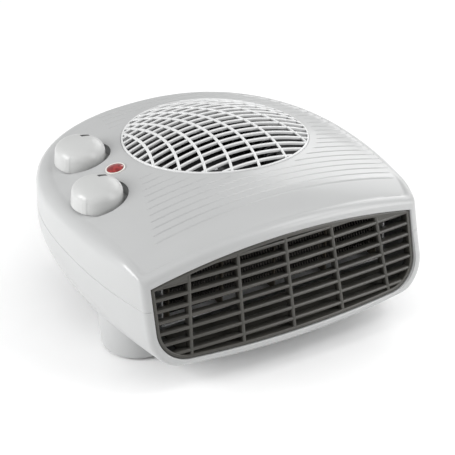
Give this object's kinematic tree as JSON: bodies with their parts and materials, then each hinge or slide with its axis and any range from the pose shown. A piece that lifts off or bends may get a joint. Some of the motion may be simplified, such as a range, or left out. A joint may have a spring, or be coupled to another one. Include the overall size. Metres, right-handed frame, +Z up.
{
  "type": "fan heater",
  "caption": "Flat-bed electric fan heater with a crowned two-part case, domed round air inlet grille, louvred front outlet, two control knobs and a red lamp.",
  "frame": {"origin": "middle of the overall box, on the ground plane under the feet", "axes": "+X to the right seen from the front, +Y to the back, +Z up; air leaves towards -Y"},
  "size_m": [0.242, 0.2426, 0.1159],
  "materials": {
    "upper_shell": "glossy light grey",
    "lower_shell": "glossy light grey",
    "inlet_grille": "glossy pale grey",
    "outlet_grille": "satin charcoal",
    "thermostat_knob": "glossy pale grey",
    "thermostat_spindle": "turned metal",
    "thermostat_body": "moulded phenolic",
    "selector_knob": "glossy pale grey",
    "selector_spindle": "moulded",
    "selector_switch": "moulded",
    "lamp_bezel": "glossy",
    "lamp_lens": "clear red, domed",
    "neon_lamp": "glass tube",
    "air_duct": "heat-resistant moulding",
    "duct_cover": "heat-resistant moulding",
    "impeller": "moulded",
    "motor_shaft": "ground",
    "motor_rotor": "cast",
    "motor_stator": "laminated",
    "motor_coil": "taped winding",
    "motor_brackets": "zinc plated",
    "heater_frame": "plated sheet",
    "element_boards": "mica",
    "heating_coils": "resistance wire",
    "thermal_cutout": "phenolic",
    "thermal_fuse": "sleeved",
    "terminal_block": "moulded",
    "internal_leads": "silicone insulation",
    "cable_gland": "moulded rubber",
    "foot_pads": "moulded rubber",
    "case_screws": "zinc plated",
    "duct_screws": "zinc plated",
    "motor_screws": "zinc plated"
  },
  "bodies": {
    "case": {"upper_shell": "upper_shell", "lower_shell": "lower_shell", "inlet_grille": "inlet_grille", "outlet_grille": "outlet_grille", "thermostat_body": "thermostat_body", "selector_switch": "selector_switch", "lamp_bezel": "lamp_bezel", "lamp_lens": "lamp_lens", "neon_lamp": "neon_lamp", "air_duct": "air_duct", "duct_cover": "duct_cover", "motor_stator": "motor_stator", "motor_coil": "motor_coil", "motor_brackets": "motor_brackets", "heater_frame": "heater_frame", "element_boards": "element_boards", "heating_coils": "heating_coils", "thermal_cutout": "thermal_cutout", "thermal_fuse": "thermal_fuse", "terminal_block": "terminal_block", "internal_leads": "internal_leads", "cable_gland": "cable_gland", "foot_pads": "foot_pads", "case_screws": "case_screws", "duct_screws": "duct_screws", "motor_screws": "motor_screws"},
    "fan": {"impeller": "impeller", "motor_shaft": "motor_shaft", "motor_rotor": "motor_rotor"},
    "thermostat_control": {"thermostat_knob": "thermostat_knob", "thermostat_spindle": "thermostat_spindle"},
    "selector_control": {"selector_knob": "selector_knob", "selector_spindle": "selector_spindle"}
  },
  "joints": [
    {"name": "fan_spin", "type": "hinge", "parent": "case", "child": "fan", "pos_m": [0.018, 0.025, 0.06], "axis": [0, 0, 1], "continuous": true},
    {"name": "thermostat_knob_turn", "type": "hinge", "parent": "case", "child": "thermostat_control", "pos_m": [-0.0932, -0.0043, 0.1], "axis": [0, 0, -1], "range_deg": [0, 280]},
    {"name": "selector_knob_turn", "type": "hinge", "parent": "case", "child": "selector_control", "pos_m": [-0.0763, 0.0557, 0.1], "axis": [0, 0, -1], "range_deg": [0, 270]}
  ]
}
